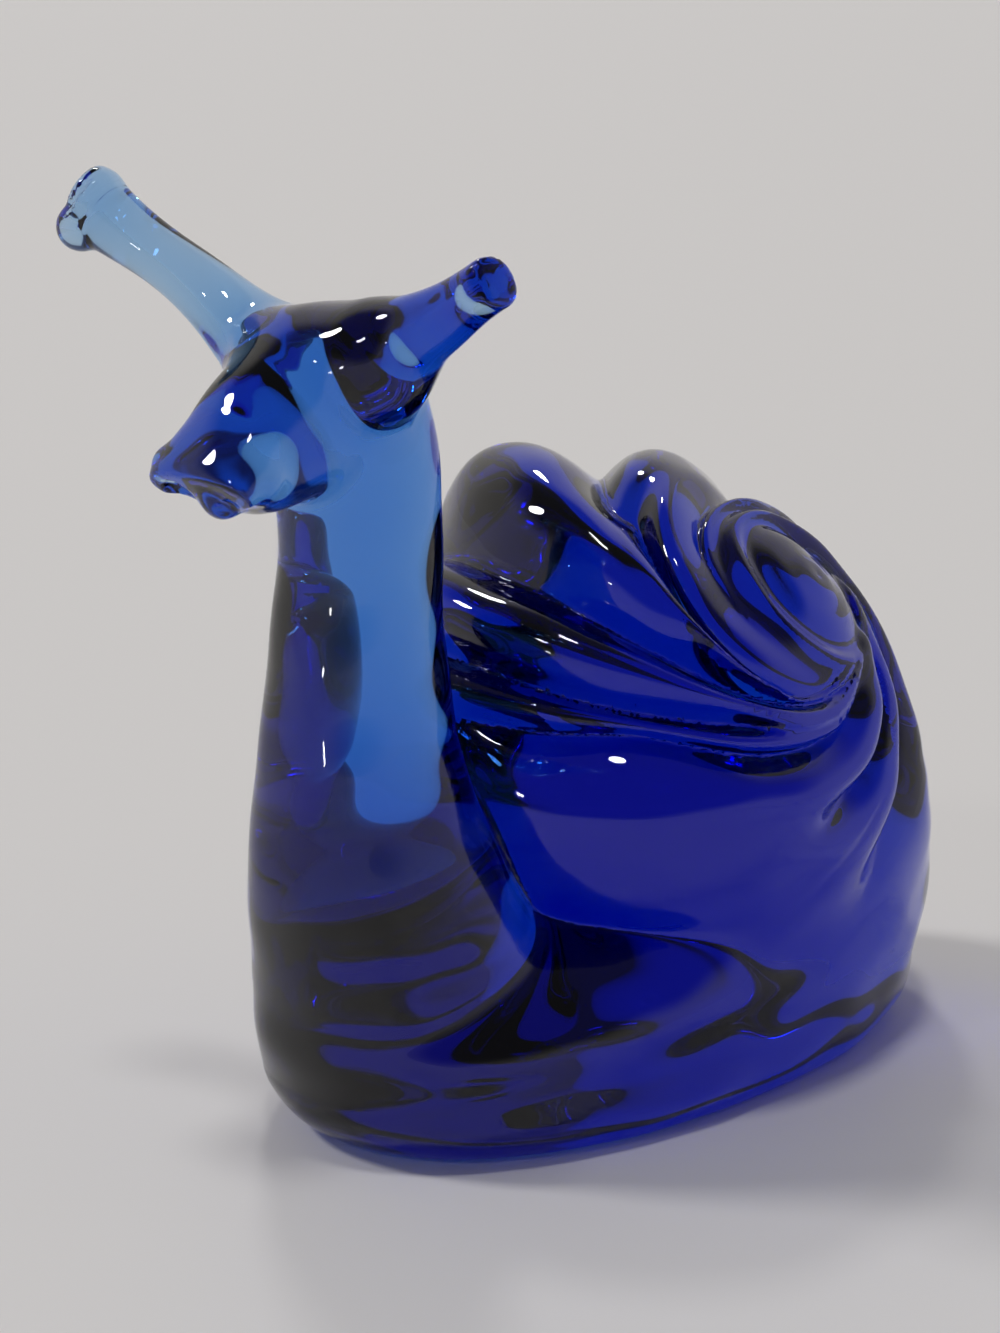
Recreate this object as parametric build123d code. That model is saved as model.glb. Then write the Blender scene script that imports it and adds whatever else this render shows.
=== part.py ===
from build123d import *
from math import cos, hypot, pi, radians, sin, sqrt
import os

# A solid blue glass snail. Millimetres, +Z up, the snail looks along -Y and its left is +X.
# The origin is on the surface that it stands on, under the middle of the shell and neck.

# Foot: the broad gather that lies on the table
foot_length = 150
foot_width = 88
foot_height = 54

# Neck: the same gather, pulled up at the front
neck_diameter = 25.6
neck_forward = 58.5

# Head: a crosswise yoke on top of the neck
head_height = 130.5
head_forward = 63
head_thickness = 18
head_depth = 23
throat_drop = 16.5

# Horns: pulled out of the ends of the yoke, the right one longer
horn_root = 14.5
right_horn_reach = 44
right_horn_rise = 23.3
right_horn_lead = 11.5
left_horn_reach = 37
left_horn_rise = 16.5
left_horn_lead = 3
horn_waist = 10
right_horn_flare = 12
left_horn_flare = 8.8

# Muzzle: pulled forward and down, pinched flat and snipped at the lip
muzzle_reach = 30.5
muzzle_drop = 17.5
muzzle_width = 22
muzzle_thickness = 12

# Shell: a swirled, ribbed gather whose axis leans to the snail's left
shell_diameter = 102
shell_axis_height = 86
shell_setback = 13
shell_centre_height = 57.5
groove_depth = 9
full_rib_width = 10
ribs_fade_low = 14
ribs_fade_high = 52

# Eye of the swirl: a low dome on the ball
eye_shoulder_diameter = 20
eye_shoulder_rise = 2.2
eye_rise = 4.2

# Direction of the shell's axis, from its centre to the eye
shell_axis = Vector(0.728, 0.125, 0.674).normalized()

# The foot's rings from the sole up: height, centre, length and width as shares of its sizes,
# and how much wider it is behind than in front
foot_ring_shares = [
    (0, 0.01, 0.862, 0.89, 0.1),
    (0.074, 0.008, 0.925, 0.95, 0.1),
    (0.222, 0.01, 0.957, 0.98, 0.12),
    (0.37, 0.018, 0.965, 1, 0.13),
    (0.5, 0.055, 0.89, 0.99, 0.13),
    (0.62, 0.107, 0.775, 0.965, 0.12),
    (0.74, 0.163, 0.645, 0.92, 0.1),
    (0.852, 0.212, 0.505, 0.83, 0.08),
    (0.944, 0.24, 0.36, 0.66, 0.04),
    (1, 0.25, 0.21, 0.4, 0),
]
# The neck's rings from inside the foot up: height as a share of the head's, how far forward
# as a share of the neck's, and length and width in neck diameters
neck_ring_shares = [
    (0.08, 0.76, 1.9, 1.95),
    (0.17, 0.815, 1.93, 1.97),
    (0.26, 0.862, 1.83, 1.82),
    (0.35, 0.928, 1.65, 1.62),
    (0.45, 0.98, 1.4, 1.37),
    (0.55, 1.002, 1.21, 1.2),
    (0.66, 1, 1.07, 1.065),
    (0.766, 0.99, 1, 1),
    (0.858, 0.995, 1.008, 1.008),
    (0.95, 1.04, 1.016, 1.016),
    (1, 1.075, 0.98, 0.98),
    (1.03, 1.08, 0.8, 0.8),
    (1.05, 1.08, 0.5, 0.5),
]
# Each horn's rings: shares of its reach, rise and lead, then how far its size has gone from
# the head's to the waist's, and from the waist's to the flared tip's
right_horn_ring_shares = [
    (0.35, 0.13, 0.15, 0.52, 0),
    (0.64, 0.52, 0.5, 0.94, 0),
    (0.86, 0.81, 0.82, 1, 0.35),
    (0.97, 0.96, 0.96, 1, 1),
    (1, 1, 1, 1, 0.6),
]
left_horn_ring_shares = [
    (0.34, 0.24, 0.15, 0.42, 0),
    (0.64, 0.55, 0.5, 0.85, 0),
    (0.86, 0.82, 0.82, 1, 0.5),
    (1, 1, 1, 1, 1),
    (1.04, 1.04, 1.04, 1, 0.8),
]
# Beads that the shears left on the right horn's end: their places from its tip to the left,
# back and up and their radius, in flares, and how far beyond the left tip its slanted snip is
horn_bead_shares = [(0.05, 0.07, 0.07, 0.42), (-0.03, -0.12, -0.31, 0.35)]
snip_share = 0.16
snip_facing = Vector(0.85, -0.355, 0.39).normalized()
# The muzzle's rings from inside the head out: shares of its reach, drop, width and thickness
muzzle_ring_shares = [
    (0, 0.12, 1, 1.35),
    (0.38, 0.3, 0.96, 1.35),
    (0.7, 0.63, 0.95, 1.15),
    (0.9, 0.86, 1.02, 0.8),
    (0.96, 0.95, 1, 0.62),
]
# Lobes of the snipped lip and the bites between them: their places from the lip's middle
# to the left, back and up and their radius, in muzzle widths
lip_lobe_shares = [(-0.43, 0.13, 0.14, 0.12), (0.09, 0.15, -0.02, 0.165), (0.37, 0.24, 0.1, 0.15)]
lip_bite_shares = [(-0.25, 0.01, -0.11, 0.165), (0.26, -0.01, -0.155, 0.135)]
# Grooves of the swirl: the angle from the eye, then how many degrees round each groove lies there
groove_rows = [
    (20, 200, 280, 305, 325, 340, 385, 430, 480),
    (26, 130, 250, 262, 280, 295, 345, 395, 440),
    (32, 75, 210, 228, 250, 268, 322, 370, 405),
    (38, 58, 141, 201, 225, 246, 300, 345, 385),
    (46, 44, 116, 177, 205, 222, 272, 318, 362),
    (56, 32, 98, 158, 189, 198, 246, 292, 342),
    (70, 16, 80, 140, 171, 182, 228, 272, 324),
    (90, 0, 60, 118, 148, 164, 210, 250, 304),
    (120, -20, 40, 100, 130, 146, 190, 232, 284),
    (150, -40, 20, 80, 110, 125, 170, 215, 265),
]
# From where to where each groove runs, in degrees from the eye, and the height of the rib after it
groove_start_angles = [18, 20, 20, 44, 22, 20, 20, 20]
groove_end_angles = [150, 150, 150, 82, 78, 46, 130, 130]
rib_height_shares = [1.1, 1.3, 1, 0.8, 1, 1, 1, 1]
groove_fade_angle = 16
points_per_rib = 6
rib_roundness = 0.84
rib_seat_share = 0.62
ring_points = 16
ring_squareness = 2.2

os.makedirs("parts", exist_ok=True)


def eased(keys, count):
    """Rows between the given rows, each column monotone between its neighbours."""
    rows = [list(map(float, key)) for key in keys]
    spans = [sqrt((b[0] - a[0]) ** 2 + (b[1] - a[1]) ** 2) for a, b in zip(rows, rows[1:])]
    slopes = [[(q - p) / s for p, q in zip(a, b)] for a, b, s in zip(rows, rows[1:], spans)]
    tangents = [slopes[0]]
    for before, after in zip(slopes, slopes[1:]):
        tangents.append([2 * p * q / (p + q) if p * q > 0 else 0 for p, q in zip(before, after)])
    tangents.append(slopes[-1])
    out = []
    for i, span in enumerate(spans):
        for k in range(count):
            t = k / count
            weights = (2 * t**3 - 3 * t**2 + 1, t**3 - 2 * t**2 + t, 3 * t**2 - 2 * t**3, t**3 - t**2)
            columns = zip(rows[i], tangents[i], rows[i + 1], tangents[i + 1])
            out.append([
                weights[0] * a + weights[1] * m * span + weights[2] * b + weights[3] * n * span
                for a, m, b, n in columns
            ])
    return out + [rows[-1]]


def oval(plane, width, length, tail_share=0):
    """A rounded ring in a plane, a little squarer than an ellipse and wider towards its +Y end."""
    points = []
    for k in range(ring_points):
        turn = 2 * pi * k / ring_points
        c, s = cos(turn), sin(turn)
        across = abs(c) ** (2 / ring_squareness) * (1 if c > 0 else -1)
        along = abs(s) ** (2 / ring_squareness) * (1 if s > 0 else -1)
        fuller = 1 + tail_share * along
        points.append(plane.from_local_coords(Vector(width / 2 * across * fuller, length / 2 * along, 0)))
    return Wire([Edge.make_spline(points, periodic=True)])


def tube(rings):
    """A solid lofted through (centre, direction, side, width, thickness) rings."""
    wires = []
    for centre, direction, side, width, thickness in rings:
        plane = Plane(origin=centre, x_dir=side, z_dir=direction)
        wires.append(oval(plane, width, thickness))
    return Solid.make_loft(wires)


def directions(points):
    """The direction of a line through points, at each of them."""
    ahead = points[1:] + [points[-1] * 2 - points[-2]]
    behind = [points[0] * 2 - points[1]] + points[:-1]
    return [(a - b).normalized() for a, b in zip(ahead, behind)]


def foot_bun():
    """The foot before anything is seated in it."""
    wires = []
    for height, centre, length, width, tail_share in eased(foot_ring_shares, 2):
        plane = Plane(origin=(0, centre * foot_length, height * foot_height))
        wires.append(oval(plane, width * foot_width, length * foot_length, tail_share))
    return Solid.make_loft(wires)


def column():
    """The neck with its flared root inside the foot and its top inside the head."""
    wires = []
    for height, forward, length, width in neck_ring_shares:
        plane = Plane(origin=(0, -forward * neck_forward, height * head_height))
        wires.append(oval(plane, width * neck_diameter, length * neck_diameter))
    return Solid.make_loft(wires)


def on_horn(reach, rise, lead, shares=(1, 1, 1)):
    """A place on a horn's middle line, its tip if no shares are given."""
    out, up, fore = shares
    return Vector(out * reach, -head_forward - fore * lead, head_height + up * rise)


def horn_rings(reach, rise, lead, flare, ring_shares):
    """Centres and sizes of one horn's rings, from the head outwards."""
    rings = []
    for out, up, fore, slim, spread in ring_shares:
        centre = on_horn(reach, rise, lead, (out, up, fore))
        width = head_depth + slim * (horn_waist - head_depth) + spread * (flare - horn_waist)
        height = head_thickness + slim * (horn_waist - head_thickness) + spread * (flare - horn_waist)
        rings.append((centre, width, height))
    return rings


def yoke():
    """Head and both horns in one, from the right tip to the left tip."""
    right = horn_rings(-right_horn_reach, right_horn_rise, right_horn_lead, right_horn_flare,
                       right_horn_ring_shares)
    left = horn_rings(left_horn_reach, left_horn_rise, left_horn_lead, left_horn_flare,
                      left_horn_ring_shares)
    middle = (Vector(0, -head_forward, head_height), head_depth, head_thickness)
    rings = right[::-1] + [middle] + left
    headings = directions([ring[0] for ring in rings])
    forward = Vector(0, -1, 0)
    return tube([(c, h, forward, width, height) for (c, width, height), h in zip(rings, headings)])


def balls(middle, unit, shares):
    """Balls placed about a middle, with their places and radii in a unit."""
    return [Pos(middle + Vector(x, y, z) * unit) * Sphere(radius * unit) for x, y, z, radius in shares]


def snout():
    """The muzzle before the head is cut out of it, with its snipped lip."""
    points = []
    sizes = []
    for out, down, width, thickness in muzzle_ring_shares:
        points.append(Vector(0, -head_forward - out * muzzle_reach, head_height - down * muzzle_drop))
        sizes.append((width * muzzle_width, thickness * muzzle_thickness))
    headings = directions(points)
    solid = tube([(p, h, Vector(1, 0, 0), w, t) for p, h, (w, t) in zip(points, headings, sizes)])
    for lobe in balls(points[-1], muzzle_width, lip_lobe_shares):
        solid = solid + lobe
    for bite in balls(points[-1], muzzle_width, lip_bite_shares):
        solid = solid - bite
    return solid


def shell_frame():
    """The shell's own frame: its centre, and X level."""
    centre = Vector(0, shell_setback, shell_centre_height)
    return Plane(origin=centre, x_dir=Vector(0, 0, 1).cross(shell_axis), z_dir=shell_axis)


def on_ball(angle):
    """How far out from the shell's axis and along it the plain ball is, by degrees from the eye."""
    across, along = sin(radians(angle)), cos(radians(angle))
    reach = 1 / hypot(2 * across / shell_diameter, 2 * along / shell_axis_height)
    return reach * across, reach * along


def faded(value, start, end):
    """From 1 at the start to 0 at the end, with a soft step between."""
    share = min(1, max(0, (value - start) / (end - start)))
    return 1 - share * share * (3 - 2 * share)


def groove_at(angle, height):
    """Depth of the grooves: none at the eye, full on top, none low on the flanks."""
    start = groove_rows[0][0]
    near_eye = faded(angle, start + groove_fade_angle, start)
    return groove_depth * near_eye * faded(height, ribs_fade_high, ribs_fade_low)


def groove_left(index, angle):
    """How much of one groove is left this far from the eye."""
    groove = index % len(groove_end_angles)
    start, end = groove_start_angles[groove], groove_end_angles[groove]
    return faded(angle, end, end + groove_fade_angle) * faded(angle, start, start - groove_fade_angle / 2)


def shell_ring(row):
    """One closed ring about the shell's axis, one curve for each rib."""
    frame = shell_frame()
    angle, turns = row[0], row[1:]
    radius, level = on_ball(angle)
    edges = []
    for i, start in enumerate(turns):
        span = (turns[(i + 1) % len(turns)] - start) % 360
        narrow = min(1, radians(span) * radius / full_rib_width)
        points = []
        for k in range(points_per_rib + 1):
            share = k / points_per_rib
            turn = radians(start + share * span)
            place = frame.from_local_coords(Vector(radius * cos(turn), radius * sin(turn), level))
            arch = narrow * sin(pi * share) ** rib_roundness if 0 < k < points_per_rib else 0
            kept = groove_left(i if share < 0.5 else i + 1, angle)
            proud = 1 + (rib_height_shares[i] - 1) * sin(pi * share)
            swell = proud * (1 - (1 - arch) * kept) - rib_seat_share
            out = radius + groove_at(angle, place.Z) * swell * sin(radians(angle))
            points.append(frame.from_local_coords(Vector(out * cos(turn), out * sin(turn), level)))
        edges.append(Edge.make_spline(points))
    return Wire(edges)


def swirled_ball():
    """The whole ribbed shell before the foot and neck are cut out of it."""
    return Solid.make_loft([shell_ring(row) for row in eased(groove_rows, 2)])


def eye():
    """The turned-in end of the swirl, revolved about the shell's axis."""
    frame = shell_frame()
    edge, level = on_ball(groove_rows[0][0])
    section = Plane(origin=frame.origin, x_dir=frame.x_dir, z_dir=-frame.y_dir)
    curve = Spline(
        (edge, level),
        (eye_shoulder_diameter / 2, level + eye_shoulder_rise),
        (0, level + eye_rise),
        tangents=((0, 1), (-1, 0)),
    )
    outline = Wire([curve, Edge.make_line((0, level + eye_rise), (0, level)),
                    Edge.make_line((0, level), (edge, level))])
    return revolve(section * Face(outline), axis=Axis(frame.origin, frame.z_dir))


def only_solid(shape):
    """The largest solid of a cut piece."""
    return max(shape.solids(), key=lambda solid: solid.volume)


# Foot, neck, head and horns, parted where the glass was worked
foot = foot_bun()
stem = column()
throat = Plane.XY.offset(head_height - throat_drop)
neck = only_solid(split(stem, bisect_by=throat, keep=Keep.BOTTOM) - foot)
crossbar = yoke()
right_cut = Plane(origin=(-horn_root, 0, 0), z_dir=(-1, 0, 0))
left_cut = Plane(origin=(horn_root, 0, 0), z_dir=(1, 0, 0))
right_horn = split(crossbar, bisect_by=right_cut, keep=Keep.TOP)
for bead in balls(on_horn(-right_horn_reach, right_horn_rise, right_horn_lead), right_horn_flare,
                  horn_bead_shares):
    right_horn = right_horn + bead
left_tip = on_horn(left_horn_reach, left_horn_rise, left_horn_lead)
snip = Plane(origin=left_tip + snip_facing * snip_share * left_horn_flare, z_dir=snip_facing)
left_horn = split(split(crossbar, bisect_by=left_cut, keep=Keep.TOP), bisect_by=snip, keep=Keep.BOTTOM)
middle = split(split(crossbar, bisect_by=right_cut, keep=Keep.BOTTOM), bisect_by=left_cut, keep=Keep.BOTTOM)
head = split(stem, bisect_by=throat, keep=Keep.TOP) + middle
muzzle = only_solid(snout() - head - neck)

# Shell, seated in the foot and against the neck
shell = only_solid(swirled_ball() - foot - neck)
shell_apex = eye()

pieces = {
    "foot": foot,
    "neck": neck,
    "head": head,
    "muzzle": muzzle,
    "left_horn": left_horn,
    "right_horn": right_horn,
    "shell": shell,
    "shell_apex": shell_apex,
}
for name, solid in pieces.items():
    solid = only_solid(solid)
    export_step(solid, f"parts/{name}.step")
    print(name, "volume", round(solid.volume), "valid", solid.is_valid)
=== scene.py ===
from math import cos, pi, radians, sin

import bpy
import numpy as np
import openvdb
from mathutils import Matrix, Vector

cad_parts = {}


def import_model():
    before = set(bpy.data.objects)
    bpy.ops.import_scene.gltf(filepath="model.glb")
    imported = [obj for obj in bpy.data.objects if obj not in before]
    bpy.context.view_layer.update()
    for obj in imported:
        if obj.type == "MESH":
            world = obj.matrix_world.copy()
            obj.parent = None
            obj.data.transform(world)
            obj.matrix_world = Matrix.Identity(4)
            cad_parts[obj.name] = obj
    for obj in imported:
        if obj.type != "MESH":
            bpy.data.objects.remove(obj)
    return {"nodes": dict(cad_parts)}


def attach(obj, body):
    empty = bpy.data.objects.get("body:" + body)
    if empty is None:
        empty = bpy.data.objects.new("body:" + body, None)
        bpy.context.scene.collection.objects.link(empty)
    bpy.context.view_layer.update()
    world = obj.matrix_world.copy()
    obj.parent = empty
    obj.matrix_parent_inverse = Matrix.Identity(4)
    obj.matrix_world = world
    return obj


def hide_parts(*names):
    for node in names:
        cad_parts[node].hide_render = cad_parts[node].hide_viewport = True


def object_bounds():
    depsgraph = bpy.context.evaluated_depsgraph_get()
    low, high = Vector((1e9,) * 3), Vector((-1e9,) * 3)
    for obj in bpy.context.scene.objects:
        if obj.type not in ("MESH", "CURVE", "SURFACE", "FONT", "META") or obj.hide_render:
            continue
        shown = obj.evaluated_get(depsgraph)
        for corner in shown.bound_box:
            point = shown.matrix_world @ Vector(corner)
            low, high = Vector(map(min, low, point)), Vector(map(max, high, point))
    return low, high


# A solid blue glass snail on a pale floor. Its glass is one unbroken skin, as on the real thing,
# so that light bends and darkens in it as in one mass. Sizes are in millimetres up to the mesh.
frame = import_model()
cad_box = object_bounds()
MM = 0.001
UP = np.array([0.0, 0.0, 1.0])
FAR = 60.0
TINY = 1e-9

# The foot's rings: height, centre, length and width as shares, and how much wider it is behind
foot_length = 150
foot_width = 88
foot_height = 54
foot_ring_shares = [
    (0, 0.01, 0.862, 0.89, 0.1),
    (0.074, 0.008, 0.925, 0.95, 0.1),
    (0.222, 0.01, 0.957, 0.98, 0.12),
    (0.37, 0.018, 0.965, 1, 0.13),
    (0.5, 0.055, 0.89, 0.99, 0.13),
    (0.62, 0.107, 0.775, 0.965, 0.12),
    (0.74, 0.163, 0.645, 0.92, 0.1),
    (0.852, 0.212, 0.505, 0.83, 0.08),
    (0.944, 0.24, 0.36, 0.66, 0.04),
    (1, 0.25, 0.21, 0.4, 0),
]
foot_turn = radians(2.5)
# The sole's edge, and the film of air between the sole and the floor
sole_rounding = 2.5
sole_gap = 0.25

# The neck's rings: height, how far forward, length and width, as shares of the sizes below
neck_diameter = 25.6
neck_forward = 58.5
head_height = 130.5
neck_ring_shares = [
    (0.08, 0.76, 1.9, 1.95),
    (0.17, 0.815, 1.93, 1.97),
    (0.26, 0.862, 1.83, 1.82),
    (0.35, 0.928, 1.65, 1.62),
    (0.45, 0.98, 1.4, 1.37),
    (0.55, 1.002, 1.21, 1.2),
    (0.66, 1, 1.07, 1.065),
    (0.766, 0.99, 1, 1),
    (0.858, 0.995, 1.008, 1.008),
    (0.95, 1.03, 0.96, 1.0),
    (1, 1.06, 0.85, 0.9),
    (1.03, 1.07, 0.7, 0.7),
]
neck_end_rounding = 6

# Head and horns: one bent bar from the right horn's tip to the left one's
head_forward = 63
head_thickness = 18
head_depth = 27
right_horn_reach = 44
right_horn_rise = 23.2
right_horn_lead = 11.5
left_horn_reach = 37
left_horn_rise = 16
left_horn_lead = 3
horn_waist = 9
right_horn_flare = 12
left_horn_flare = 8.2
# Each horn's rings from the head out, as shares: how far out, up and forward each one is, how far
# it has slimmed from the head to the waist, and how much of the flare it has
right_horn_ring_shares = [
    (0.35, 0.13, 0.15, 0.55, 0),
    (0.64, 0.54, 0.5, 0.95, 0),
    (0.86, 0.81, 0.82, 1, 0.35),
    (1, 1, 1, 1, 1),
]
left_horn_ring_shares = [
    (0.34, 0.24, 0.15, 0.42, 0),
    (0.64, 0.55, 0.5, 0.85, 0),
    (0.86, 0.82, 0.82, 1, 0.5),
    (1, 1, 1, 1, 1),
]
# Beads that the shears left on the right horn's end: their places from its tip to the left,
# back and up and their radius, in flares; then the facets of the left horn's snipped end, by
# the way each faces and how far it is beyond the tip, in flares
horn_bead_shares = [(0.05, 0.07, 0.07, 0.42), (-0.03, -0.12, -0.31, 0.35)]
horn_bead_blend = 1.2
horn_end_overrun = 2.5
snip_facings = [(0.85, -0.355, 0.39), (0.35, -0.9, 0.2), (0.3, -0.2, 0.93)]
snip_shares = [0.16, 0.3, 0.34]

# The brow that swells the head below its horns: a round bar between two places
brow_start = np.array([-6, -67, 128])
brow_end = np.array([11, -65.5, 131.5])
brow_radius = 9.6
brow_blend = 5

# The dent behind the head between the horns: its ball's place and radius
nape_place = np.array([0, -20, 150])
nape_radius = 38
nape_rounding = 3

# Muzzle: rings from inside the head out, as shares of its reach, drop, width and thickness
muzzle_reach = 30.2
muzzle_drop = 17.5
muzzle_width = 22
muzzle_thickness = 12.8
muzzle_ring_shares = [
    (0, 0.3, 1.1, 1.9),
    (0.38, 0.48, 1.04, 1.9),
    (0.7, 0.72, 0.98, 1.4),
    (0.9, 0.86, 1.02, 0.8),
    (0.96, 0.95, 1, 0.62),
]
# Lobes of the snipped lip and the bites between them: their places from the lip's middle
# to the left, back and up and their radius, in muzzle widths
lip_lobe_shares = [(-0.43, 0.13, 0.14, 0.12), (0.09, 0.15, -0.02, 0.165), (0.37, 0.24, 0.1, 0.15)]
lip_bite_shares = [(-0.25, 0.01, -0.11, 0.165), (0.26, -0.01, -0.155, 0.135)]
lip_blend = 2.6
# How far the edges of bites and snips, and those of the bars' ends, are rounded
bite_blend = 0.8
end_rounding = 1.6

# Shell: a ball squashed along its axis, with swirled grooves that part its ribs
shell_diameter = 102
shell_axis_height = 86
shell_centre = np.array([0, 13, 57.5])
shell_axis = np.array([0.728, 0.125, 0.674])
shell_axis = shell_axis / np.linalg.norm(shell_axis)
groove_depth = 9
# Going down, the grooves fade from the higher of these heights to the lower one
ribs_fade_low = 14
ribs_fade_high = 52
# Grooves of the swirl: the angle from the eye, then how many degrees round each groove lies there
groove_rows = [
    (20, 200, 280, 305, 325, 340, 385, 430, 480),
    (26, 130, 250, 262, 280, 295, 345, 395, 440),
    (32, 75, 210, 228, 250, 268, 322, 370, 405),
    (38, 58, 141, 201, 225, 246, 300, 345, 385),
    (46, 44, 116, 177, 205, 222, 272, 318, 362),
    (56, 32, 96, 158, 189, 198, 246, 292, 342),
    (70, 16, 75, 140, 171, 182, 228, 272, 324),
    (90, 0, 56, 118, 148, 164, 210, 250, 304),
    (120, -20, 40, 100, 130, 146, 190, 232, 284),
    (150, -40, 20, 80, 110, 125, 170, 215, 265),
]
# From where to where each groove runs, in degrees from the eye, and the height of the rib after it
groove_start_angles = [18, 20, 20, 44, 22, 20, 20, 20]
groove_end_angles = [150, 150, 150, 82, 78, 46, 130, 130]
rib_height_shares = [1, 1.3, 1, 0.8, 1, 0.86, 1.1, 1]
# Across a rib, the groove before it hands over to the one after it between these shares
hand_over_shares = (0.3, 0.7)
# Where the ribs' own heights start to even out, and over how many degrees a groove's end fades
high_ribs_end = 75
groove_fade_angle = 16
# Ribs narrower than this are lower, how round ribs are, how much of the grooves' depth is below
# the ball, and how soft the bottom of a groove is, at least as a share and at least as a radius
full_rib_width = 10
narrowest_rib = 1
rib_roundness = 0.42
rib_seat_share = 0.62
groove_softness_share = 0.1
groove_bottom_radius = 0.9
# Within this many degrees of its middle, the eye has no grooves
eye_angle = 20

# Eye of the swirl: where its middle is on the shell's own X and Y, and its rings as distances
# from there and how proud each stands of the ball
eye_middle = (7, 1)
eye_profile = [
    (0, 0.4), (3, 0.5), (6, 0), (9, -0.5), (12, -1.4), (14, -1.7), (16, -1), (17.6, -1.3),
    (20.5, -2), (24, -1.9), (30, -1.8), (38, -1), (48, 0), (60, 0),
]

# Slow waves that the tools left: the height of each, and its radians to a millimetre on X, Y and Z
wave_height = 0.08
waves = np.array([(0.21, 0.33, 0.12), (-0.3, 0.14, 0.27), (0.11, -0.25, 0.36)])

# How widely the gathers melt into each other
foot_to_neck = 12
head_to_neck = 4
muzzle_to_head = 7
shell_to_front = 1.6
shell_to_tail = 15
# The crease under the shell fades towards the tail, between two distances along a slanting line
crease_fade_start = -16
crease_fade_end = 14
crease_slant = 0.3
# Nothing of the head, the horns or the muzzle is further below the head's middle than this
head_hang = 45

# How square the rings are, and how far past its ends an oval goes on growing wider, as a share
ring_squareness = 2.2
widening_share = 1.5
cell = 0.7
spare_cells = 3


def curve(rows):
    """A smooth curve through rows of (place, values), as a function of places."""
    rows = np.array(rows, float)
    knots, values = rows[:, 0], rows[:, 1:]
    steps = np.diff(knots)
    slopes = np.diff(values, axis=0) / steps[:, None]
    matrix = np.eye(len(knots))
    right = np.zeros_like(values)
    for i in range(1, len(knots) - 1):
        matrix[i, i - 1:i + 2] = steps[i - 1], 2 * (steps[i - 1] + steps[i]), steps[i]
        right[i] = 6 * (slopes[i] - slopes[i - 1])
    bends = np.linalg.solve(matrix, right)

    def at(place):
        place = np.clip(place, knots[0], knots[-1])
        i = np.clip(np.searchsorted(knots, place) - 1, 0, len(steps) - 1)
        step = steps[i][:, None]
        after = (place - knots[i])[:, None] / step
        before = 1 - after
        bend = (before**3 - before) * bends[i] + (after**3 - after) * bends[i + 1]
        return before * values[i] + after * values[i + 1] + bend * step**2 / 6

    return at


def melted(first, second, reach):
    """The union of two forms, with a fillet that starts this far from both."""
    near = np.maximum(reach - np.abs(first - second), 0) / reach
    return np.minimum(first, second) - near**3 * reach / 6


def cut(first, second, reach):
    """The overlap of two forms, with its edge rounded."""
    return -melted(-first, -second, reach)


def oval(across, along, half_width, half_length, tail_share=0.0):
    """How far points are outside an oval of their own plane, along the line from its middle."""
    along_share = along / half_length
    widening = 1 + tail_share * np.clip(along_share, -widening_share, widening_share)
    across_share = across / (half_width * widening)
    size = np.abs(across_share)**ring_squareness + np.abs(along_share)**ring_squareness
    size = np.maximum(size, TINY)**(1 / ring_squareness)
    return np.hypot(across, along) * (1 - 1 / size)


foot_rings = curve(foot_ring_shares)
neck_rings = curve(neck_ring_shares)


def foot(p):
    """The broad gather that lies on the floor."""
    ring = foot_rings(p[:, 2] / foot_height)
    across = cos(foot_turn) * p[:, 0] + sin(foot_turn) * p[:, 1]
    along = cos(foot_turn) * p[:, 1] - sin(foot_turn) * p[:, 0] - ring[:, 0] * foot_length
    side = oval(across, along, ring[:, 2] * foot_width / 2, ring[:, 1] * foot_length / 2, ring[:, 3])
    return cut(side, p[:, 2] - foot_height, sole_rounding)


def neck(p):
    """The neck with its flared root inside the foot and its top inside the head."""
    ring = neck_rings(p[:, 2] / head_height)
    along = p[:, 1] + ring[:, 0] * neck_forward
    side = oval(p[:, 0], along, ring[:, 2] * neck_diameter / 2, ring[:, 1] * neck_diameter / 2)
    low = neck_ring_shares[0][0] * head_height - p[:, 2]
    high = p[:, 2] - neck_ring_shares[-1][0] * head_height
    return cut(cut(side, low, neck_end_rounding), high, neck_end_rounding)


def horn_rows(reach, rise, lead, flare, shares):
    """Centres and sizes along one horn, from the head outwards."""
    rows = []
    for out, up, fore, slim, spread in shares:
        grown = slim * horn_waist + spread * (flare - horn_waist)
        width = (1 - slim) * head_depth + grown
        height = (1 - slim) * head_thickness + grown
        rows.append((out * reach, -head_forward - fore * lead, head_height + up * rise, width, height))
    return rows


def spine(rows):
    """A curve through (x, y, z, width, height) rows, by the length of the line to each row."""
    rows = np.array(rows, float)
    lengths = np.linalg.norm(np.diff(rows[:, :3], axis=0), axis=1)
    places = np.concatenate([[0], np.cumsum(lengths)])
    return curve(np.column_stack([places, rows])), places[-1]


right_rows = horn_rows(-right_horn_reach, right_horn_rise, right_horn_lead, right_horn_flare,
                       right_horn_ring_shares)
left_rows = horn_rows(left_horn_reach, left_horn_rise, left_horn_lead, left_horn_flare,
                      left_horn_ring_shares)
middle_row = (0, -head_forward, head_height, head_depth, head_thickness)
yoke_spine, yoke_length = spine(right_rows[::-1] + [middle_row] + left_rows)
muzzle_rows = [
    (0, -head_forward - out * muzzle_reach, head_height - down * muzzle_drop,
     width * muzzle_width, thickness * muzzle_thickness)
    for out, down, width, thickness in muzzle_ring_shares
]
muzzle_spine, muzzle_length = spine(muzzle_rows)


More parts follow.
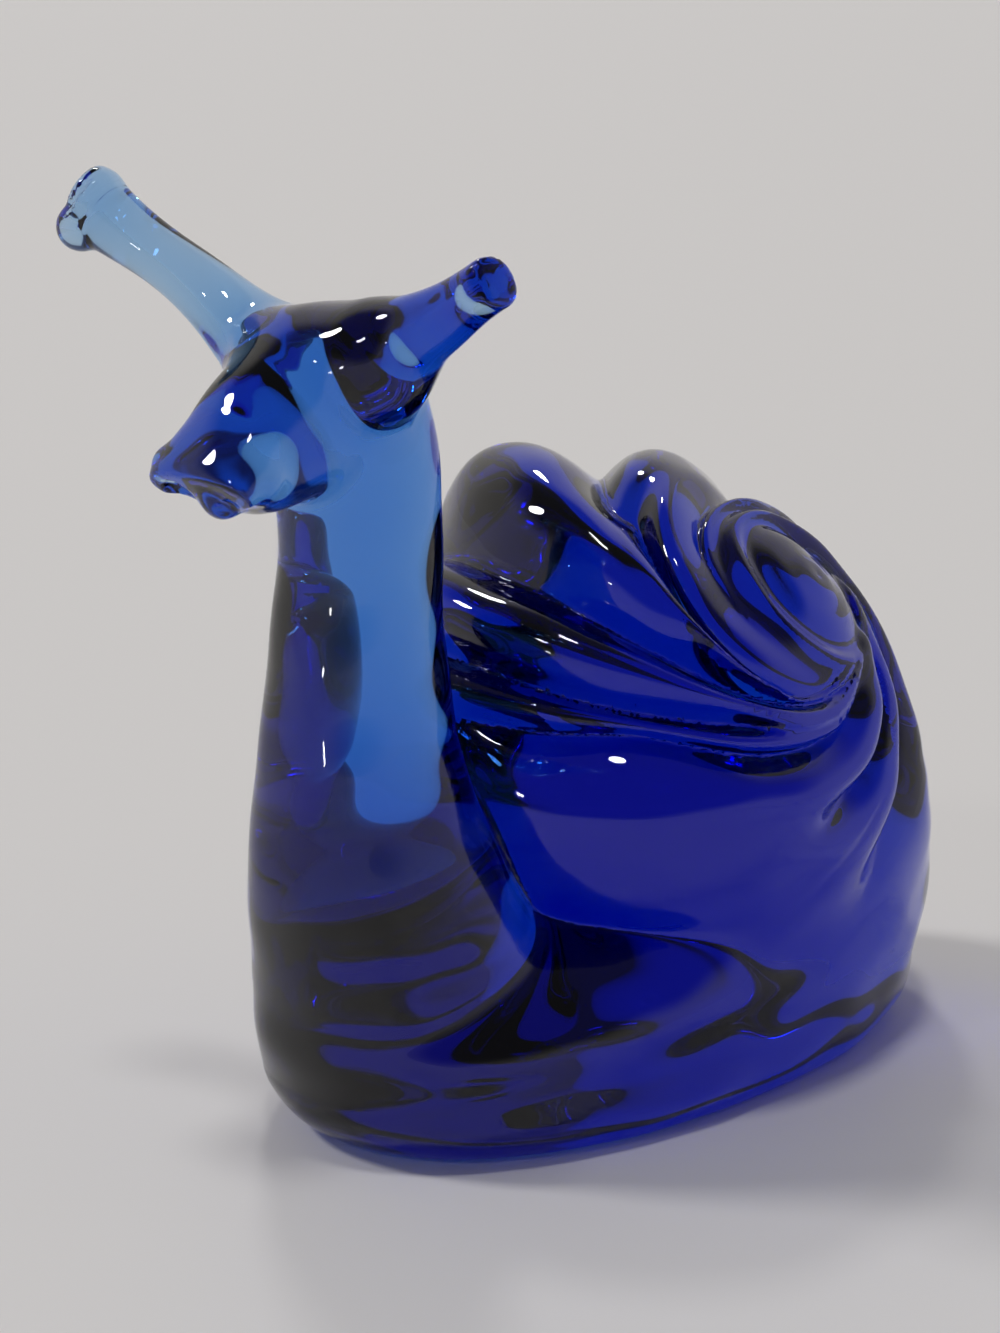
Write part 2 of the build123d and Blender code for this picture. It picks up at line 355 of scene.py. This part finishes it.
def along_spine(p, line, length, axis, sign, samples=60, rounds=4, nudge=0.5):
    """Each point's nearest place on a spine, and the spine's point, sizes and heading there."""
    places = np.linspace(0, length, samples)
    place = np.interp(sign * p[:, axis], sign * line(places)[:, axis], places)
    for _ in range(rounds):
        here = line(place)
        ahead = line(place + nudge)[:, :3] - line(place - nudge)[:, :3]
        heading = ahead / np.linalg.norm(ahead, axis=1)[:, None]
        place = np.clip(place + np.sum((p - here[:, :3]) * heading, axis=1), 0, length)
    return place, line(place), heading


def tube(p, line, length, axis, sign, side):
    """How far outside a bent bar about a spine, and how far along it, its ends left open."""
    place, here, heading = along_spine(p, line, length, axis, sign)
    sideways = side - np.sum(side * heading, axis=1)[:, None] * heading
    sideways = sideways / np.linalg.norm(sideways, axis=1)[:, None]
    upward = np.cross(heading, sideways)
    offset = p - here[:, :3]
    across = np.sum(offset * sideways, axis=1)
    along = np.sum(offset * upward, axis=1)
    beyond = np.sum(offset * heading, axis=1)
    return oval(across, along, here[:, 3] / 2, here[:, 4] / 2), place + beyond


def balls(p, middle, unit, shares):
    """How far outside each ball about a middle, with places and radii in a unit."""
    return [np.linalg.norm(p - middle - np.array(place) * unit, axis=1) - radius * unit
            for *place, radius in shares]


def yoke(p):
    """Head with its brow, and both horns."""
    side, place = tube(p, yoke_spine, yoke_length, 0, 1, np.array([0.0, -1, 0]))
    bar = cut(side, np.maximum(place - yoke_length, -place), end_rounding)
    for bead in balls(p, right_rows[-1][:3], right_horn_flare, horn_bead_shares):
        bar = melted(bar, bead, horn_bead_blend)
    bar = cut(bar, -place - horn_end_overrun, bite_blend)
    for facing, share in zip(snip_facings, snip_shares):
        facing = np.array(facing) / np.linalg.norm(facing)
        bar = cut(bar, (p - left_rows[-1][:3]) @ facing - share * left_horn_flare, bite_blend)
    along = brow_end - brow_start
    share = np.clip((p - brow_start) @ along / (along @ along), 0, 1)
    brow = np.linalg.norm(p - brow_start - share[:, None] * along, axis=1) - brow_radius
    return melted(bar, brow, brow_blend)


def muzzle(p):
    """The flattened bill."""
    side, place = tube(p, muzzle_spine, muzzle_length, 1, -1, np.array([1.0, 0, 0]))
    ends = np.maximum(place - muzzle_length, -place)
    bill = cut(side, ends, end_rounding)
    lip = muzzle_rows[-1][:3]
    for lobe in balls(p, lip, muzzle_width, lip_lobe_shares):
        bill = melted(bill, lobe, lip_blend)
    for bite in balls(p, lip, muzzle_width, lip_bite_shares):
        bill = cut(bill, -bite, bite_blend)
    return bill


def soft_step(value, start, end):
    """From 1 at the start to 0 at the end, with a soft step between."""
    share = np.clip((value - start) / (end - start), 0, 1)
    return 1 - share * share * (3 - 2 * share)


groove_paths = curve(groove_rows)


def ribs(turn, angle):
    """How far the ribs stand out, as a share of the grooves' depth, by degrees round and from the eye."""
    out = np.zeros_like(turn)
    paths = groove_paths(angle)
    grooves = paths.shape[1]
    for i in range(grooves):
        after = (i + 1) % grooves
        span = (paths[:, after] - paths[:, i]) % 360
        share = ((turn - paths[:, i]) % 360) / span
        inside = share < 1
        arc = np.sin(pi * share[inside])
        width = radians(1) * span[inside] * np.sin(np.radians(angle[inside])) * shell_diameter / 2
        round_bottom = pi * groove_bottom_radius / np.maximum(width, narrowest_rib)
        softness = np.hypot(groove_softness_share, round_bottom)
        arch = np.minimum(width / full_rib_width, 1) * (arc**2 + softness**2)**rib_roundness
        nearer = soft_step(share[inside], *hand_over_shares)
        start = nearer * groove_start_angles[i] + (1 - nearer) * groove_start_angles[after]
        end = nearer * groove_end_angles[i] + (1 - nearer) * groove_end_angles[after]
        kept = soft_step(angle[inside], end, end + groove_fade_angle)
        kept = kept * soft_step(angle[inside], start, start - groove_fade_angle / 2)
        kept_height = soft_step(angle[inside], high_ribs_end, high_ribs_end + 2 * groove_fade_angle)
        proud = 1 + (rib_height_shares[i] - 1) * arc * kept_height
        out[inside] = proud * (1 - (1 - arch) * kept)
    return out


# The shell's own axes: X level, Z towards the eye
shell_level = np.cross(UP, shell_axis)
shell_level = shell_level / np.linalg.norm(shell_level)
shell_frame = np.array([shell_level, np.cross(shell_axis, shell_level), shell_axis])
eye_curve = curve(eye_profile)


def shell(p):
    """The ribbed, swirled gather with its turned-in eye."""
    q = (p - shell_centre) @ shell_frame.T
    radius = np.hypot(q[:, 0], q[:, 1])
    size = np.hypot(radius / shell_diameter, q[:, 2] / shell_axis_height) * 2
    ball = np.linalg.norm(q, axis=1) * (1 - 1 / np.maximum(size, TINY))
    angle = np.degrees(np.arctan2(radius, q[:, 2]))
    turn = np.degrees(np.arctan2(q[:, 1], q[:, 0]))
    depth = groove_depth * soft_step(angle, eye_angle + groove_fade_angle, eye_angle)
    depth = depth * soft_step(p[:, 2], ribs_fade_high, ribs_fade_low)
    swell = depth * (ribs(turn, angle) - rib_seat_share) * np.sin(np.radians(angle))
    from_eye = np.hypot(q[:, 0] - eye_middle[0], q[:, 1] - eye_middle[1])
    eye = np.where(q[:, 2] > 0, eye_curve(from_eye)[:, 0], 0)
    return ball - swell - eye


def glass(p):
    """Roughly how far points are outside the whole snail."""
    out = melted(foot(p), neck(p), foot_to_neck)
    high = p[:, 2] > head_height - head_hang
    if high.any():
        top = melted(out[high], yoke(p[high]), head_to_neck)
        nape = nape_radius - np.linalg.norm(p[high] - nape_place, axis=1)
        top = cut(top, nape, nape_rounding)
        out[high] = melted(top, muzzle(p[high]), muzzle_to_head)
    flank = 1 - soft_step(p[:, 1] + crease_slant * p[:, 0], crease_fade_start, crease_fade_end)
    out = melted(out, shell(p), shell_to_front + (shell_to_tail - shell_to_front) * flank)
    out = out + wave_height * np.sin(p @ waves.T).sum(axis=1)
    return cut(out, sole_gap - p[:, 2], sole_rounding)


def in_batches(function, p, size=400000):
    """A function of many points, worked out for some of them at a time to save memory."""
    return np.concatenate([function(p[i:i + size]) for i in range(0, len(p), size)])


def grid_of_glass(low, counts, block=8):
    """The form's distances on a grid, worked out only near its surface."""
    blocks = -(-counts // block)
    index = np.stack(np.meshgrid(*[np.arange(n) for n in blocks], indexing="ij"), -1).reshape(-1, 3)
    middles = low + (index + 0.5) * block * cell
    away = in_batches(glass, middles)
    grid = np.where(away.reshape(blocks) > 0, FAR, -FAR).astype(np.float32)
    grid = grid.repeat(block, 0).repeat(block, 1).repeat(block, 2)
    steps = np.stack(np.meshgrid(*[np.arange(block)] * 3, indexing="ij"), -1).reshape(-1, 3)
    near = index[np.abs(away) < 2 * block * cell]
    nodes = (near[:, None, :] * block + steps[None]).reshape(-1, 3)
    grid[nodes[:, 0], nodes[:, 1], nodes[:, 2]] = in_batches(glass, low + nodes * cell)
    return grid


def slope_at(p, nudge=0.05):
    """How fast the form's distance grows along X, Y and Z."""
    slope = np.zeros_like(p)
    for axis in range(3):
        step = np.zeros(3)
        step[axis] = nudge
        slope[:, axis] = (in_batches(glass, p + step) - in_batches(glass, p - step)) / (2 * nudge)
    return slope


def settled(p, rounds=3, least_steep=0.05):
    """Points moved onto the form's surface."""
    slope = slope_at(p)
    steep = np.maximum(np.sum(slope**2, axis=1), least_steep)
    for _ in range(rounds):
        move = np.clip(in_batches(glass, p) / steep, -cell, cell)
        p = p - move[:, None] * slope
    return p


def skin():
    """The snail's glass as one closed mesh, shaded by the slope of the form itself."""
    low = np.array(cad_box[0]) / MM - spare_cells * cell
    counts = np.ceil((np.array(cad_box[1]) / MM - low) / cell).astype(int) + spare_cells
    grid = openvdb.FloatGrid(FAR)
    grid.copyFromArray(grid_of_glass(low, counts))
    points, triangles, quads = grid.convertToPolygons(0, 0)
    points = settled(low + points.astype(float) * cell)
    mesh = bpy.data.meshes.new("snail_glass")
    faces = quads.tolist() + triangles.tolist()
    mesh.from_pydata((points * MM).tolist(), [], faces)
    mesh.validate()
    for polygon in mesh.polygons:
        polygon.use_smooth = True
    slope = slope_at(points)
    facing = slope / np.maximum(np.linalg.norm(slope, axis=1), TINY)[:, None]
    mesh.normals_split_custom_set_from_vertices(facing.tolist())
    piece = bpy.data.objects.new("snail_glass", mesh)
    bpy.context.scene.collection.objects.link(piece)
    return piece


# Camera at the photograph's place: its turn about the vertical, its rise, and its distance from a
# centre, then how far beside and below that centre it aims
camera_turn = radians(40.6)
camera_rise = radians(13.3)
camera_distance = 528
camera_centre = np.array([0, 0, 75])
aim_left = 16.6
aim_down = 4.7
camera_lens = 81.15
camera_sensor = 36


def camera():
    """The camera, at the photograph's angle."""
    level, slope = cos(camera_rise), sin(camera_rise)
    toward = np.array([sin(camera_turn) * level, -cos(camera_turn) * level, slope])
    right = np.array([cos(camera_turn), sin(camera_turn), 0])
    aim = camera_centre - aim_left * right - aim_down * np.cross(toward, right)
    data = bpy.data.cameras.new("camera")
    data.lens = camera_lens
    data.sensor_width = camera_sensor
    piece = bpy.data.objects.new("camera", data)
    bpy.context.scene.collection.objects.link(piece)
    place = Vector((camera_centre + toward * camera_distance) * MM)
    piece.location = place
    piece.rotation_euler = (Vector(aim * MM) - place).to_track_quat("-Z", "Y").to_euler()
    bpy.context.scene.camera = piece


def nodes_of(name):
    """A new material, with its nodes and links."""
    material = bpy.data.materials.new(name)
    material.use_nodes = True
    return material, material.node_tree.nodes, material.node_tree.links


glass_ior = 1.51
# What a millimetre of the glass takes out of red, green and blue light
glass_loss = (0.103, 0.051, 0.0088)
# Patches a little duller than the rest: how many to a metre, from which value of the noise to
# which they come in, and the dullest one's roughness
handling_count = 140
handling_low = 0.45
handling_high = 0.8
dullest = 0.06


def glass_material():
    """Clear glass round an inside that takes out red and green before blue."""
    material, nodes, links = nodes_of("cobalt_glass")
    shader = nodes["Principled BSDF"]
    shader.inputs["Base Color"].default_value = (1, 1, 1, 1)
    shader.inputs["IOR"].default_value = glass_ior
    shader.inputs["Transmission Weight"].default_value = 1
    place = nodes.new("ShaderNodeTexCoord")
    handling = nodes.new("ShaderNodeTexNoise")
    handling.inputs["Scale"].default_value = handling_count
    links.new(place.outputs["Object"], handling.inputs["Vector"])
    polish = nodes.new("ShaderNodeMapRange")
    polish.inputs["From Min"].default_value = handling_low
    polish.inputs["From Max"].default_value = handling_high
    polish.inputs["To Max"].default_value = dullest
    links.new(handling.outputs["Fac"], polish.inputs["Value"])
    links.new(polish.outputs["Result"], shader.inputs["Roughness"])
    volume = nodes.new("ShaderNodeVolumeAbsorption")
    densest = max(glass_loss)
    volume.inputs["Color"].default_value = (*[1 - loss / densest for loss in glass_loss], 1)
    volume.inputs["Density"].default_value = densest / MM
    links.new(volume.outputs["Volume"], nodes["Material Output"].inputs["Volume"])
    return material


# The floor's width is in metres
floor_width = 60
floor_colour = (0.76, 0.74, 0.72)
floor_roughness = 0.6


def floor():
    """A plain pale floor that reaches as far as the camera sees."""
    material, nodes, _ = nodes_of("floor")
    nodes["Principled BSDF"].inputs["Base Color"].default_value = (*floor_colour, 1)
    nodes["Principled BSDF"].inputs["Roughness"].default_value = floor_roughness
    bpy.ops.mesh.primitive_plane_add(size=floor_width, location=(0, 0, 0))
    piece = bpy.context.object
    piece.name = "floor"
    piece.data.materials.append(material)


# Far round lamps: the way to each, its width in degrees and its strength
lamps = [
    ("key", (-0.97, -0.68, 1.07), 10, 1.05),
    ("top", (0.1, -0.2, 1.7), 8, 0.6),
    ("back", (-0.77, 0.64, 1.2), 7, 0.35),
    ("front", (0, -1.5, 0.95), 4, 0.15),
    ("low", (-0.05, -1.5, 0.03), 3, 0.06),
]


def lamp(name, place, width, strength):
    """A far round lamp that lights the whole floor evenly."""
    data = bpy.data.lights.new(name, "SUN")
    data.angle = radians(width)
    data.energy = strength
    piece = bpy.data.objects.new(name, data)
    piece.rotation_euler = (-Vector(place)).to_track_quat("-Z", "Y").to_euler()
    bpy.context.scene.collection.objects.link(piece)


# The studio is pale low down and behind the snail, and dims upwards and towards the camera:
# by how much the dim side leans to the camera, and from where to where it dims
sky_lean = 0.5
sky_low = 0.35
sky_high = 0.65
sky_pale = (0.57, 0.55, 0.53)
sky_dim = (0.09, 0.09, 0.11)


def world():
    """A pale studio that dims overhead and behind the camera."""
    world = bpy.data.worlds.new("studio")
    bpy.context.scene.world = world
    world.use_nodes = True
    nodes, links = world.node_tree.nodes, world.node_tree.links
    place = nodes.new("ShaderNodeTexCoord")
    height = nodes.new("ShaderNodeVectorMath")
    height.operation = "DOT_PRODUCT"
    height.inputs[1].default_value = (sky_lean * sin(camera_turn), -sky_lean * cos(camera_turn), 1)
    links.new(place.outputs["Generated"], height.inputs[0])
    step = nodes.new("ShaderNodeMapRange")
    step.interpolation_type = "SMOOTHSTEP"
    step.inputs["From Min"].default_value = sky_low
    step.inputs["From Max"].default_value = sky_high
    links.new(height.outputs["Value"], step.inputs["Value"])
    blend = nodes.new("ShaderNodeMix")
    blend.data_type = "RGBA"
    links.new(step.outputs["Result"], blend.inputs["Factor"])
    blend.inputs["A"].default_value = (*sky_pale, 1)
    blend.inputs["B"].default_value = (*sky_dim, 1)
    links.new(blend.outputs["Result"], nodes["Background"].inputs["Color"])


bpy.context.scene.view_settings.view_transform = "Standard"
camera()
world()
floor()
for row in lamps:
    lamp(*row)
snail = skin()
snail.data.materials.append(glass_material())
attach(snail, "root")
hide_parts(*frame["nodes"])
